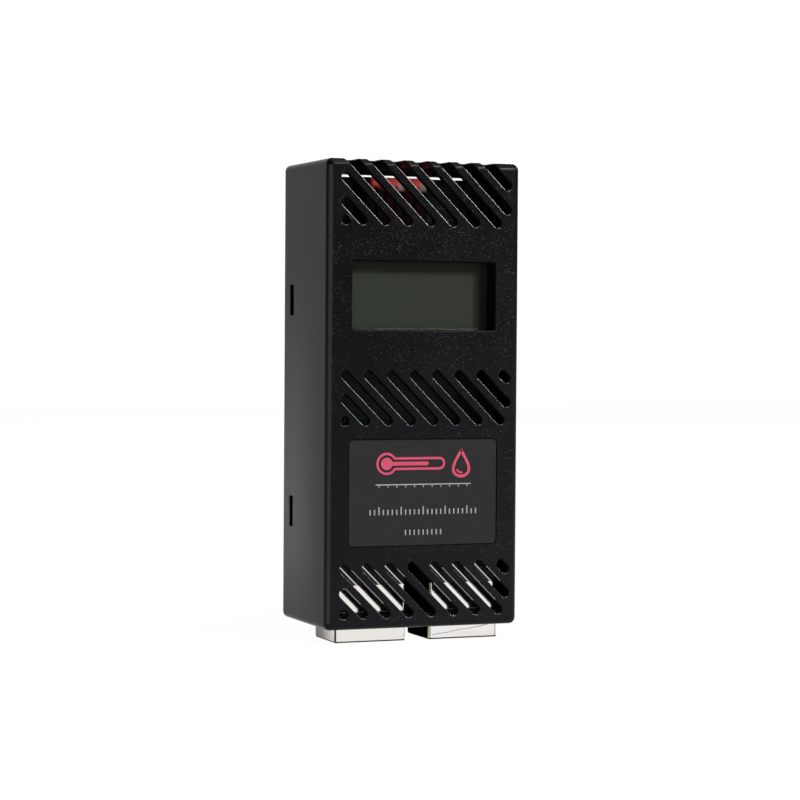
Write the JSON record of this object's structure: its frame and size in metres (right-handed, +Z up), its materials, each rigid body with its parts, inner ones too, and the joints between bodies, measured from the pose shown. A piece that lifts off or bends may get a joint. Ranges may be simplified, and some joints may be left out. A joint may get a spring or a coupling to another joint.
{
  "type": "rack temperature and humidity sensor",
  "caption": "Slim black temperature and humidity probe for an equipment rack, with a small display, slanted vents and modular jacks in its base.",
  "frame": {"origin": "middle of the flat back face, which goes against the rack or wall", "axes": "+X to the right as the front is seen, +Y out of the back, +Z up, with the jacks pointing down"},
  "size_m": [0.0436, 0.0272, 0.1014],
  "materials": {
    "housing": "fine spark-eroded texture",
    "label": "printed satin film",
    "display": "satin polarising film",
    "display_glass": "clear",
    "reflector_film": "satin",
    "rubber_strip": "matt",
    "black_moulding": "smooth",
    "circuit_board": "solder mask",
    "tin_plate": "bright tin plate",
    "gilt_wire": "polished",
    "tinned_lead": "tinned",
    "screw_steel": "zinc plated",
    "red_case": "satin",
    "epoxy_bead": "gloss",
    "capacitor_can": "satin",
    "can_steel": "bright",
    "chip_ceramic": "matt"
  },
  "bodies": {
    "root": {"back_cover": "housing", "board_screws": "screw_steel", "chip_capacitors": "chip_ceramic", "chip_resistors": "chip_ceramic", "clamp_diodes": "black_moulding", "crystal": "can_steel", "display_board": "circuit_board", "display_chip": "black_moulding", "display_screws": "screw_steel", "front_cover": "housing", "header_pins": "gilt_wire", "header_socket": "black_moulding", "header_strip": "black_moulding", "humidity_leads": "tinned_lead", "humidity_sensor": "red_case", "label": "label", "lcd_frame": "black_moulding", "lcd_front_glass": "display_glass", "lcd_polariser": "display", "lcd_rear_glass": "display_glass", "lcd_reflector": "reflector_film", "lcd_rubber_strips": "rubber_strip", "left_jack_body": "black_moulding", "left_jack_contacts": "gilt_wire", "left_jack_insert": "black_moulding", "left_jack_shield": "tin_plate", "line_drivers": "black_moulding", "main_board": "circuit_board", "microcontroller": "black_moulding", "right_jack_body": "black_moulding", "right_jack_contacts": "gilt_wire", "right_jack_insert": "black_moulding", "right_jack_shield": "tin_plate", "supply_capacitors": "capacitor_can", "thermistor_bead": "epoxy_bead", "thermistor_leads": "tinned_lead", "voltage_regulator": "black_moulding"}
  },
  "joints": []
}
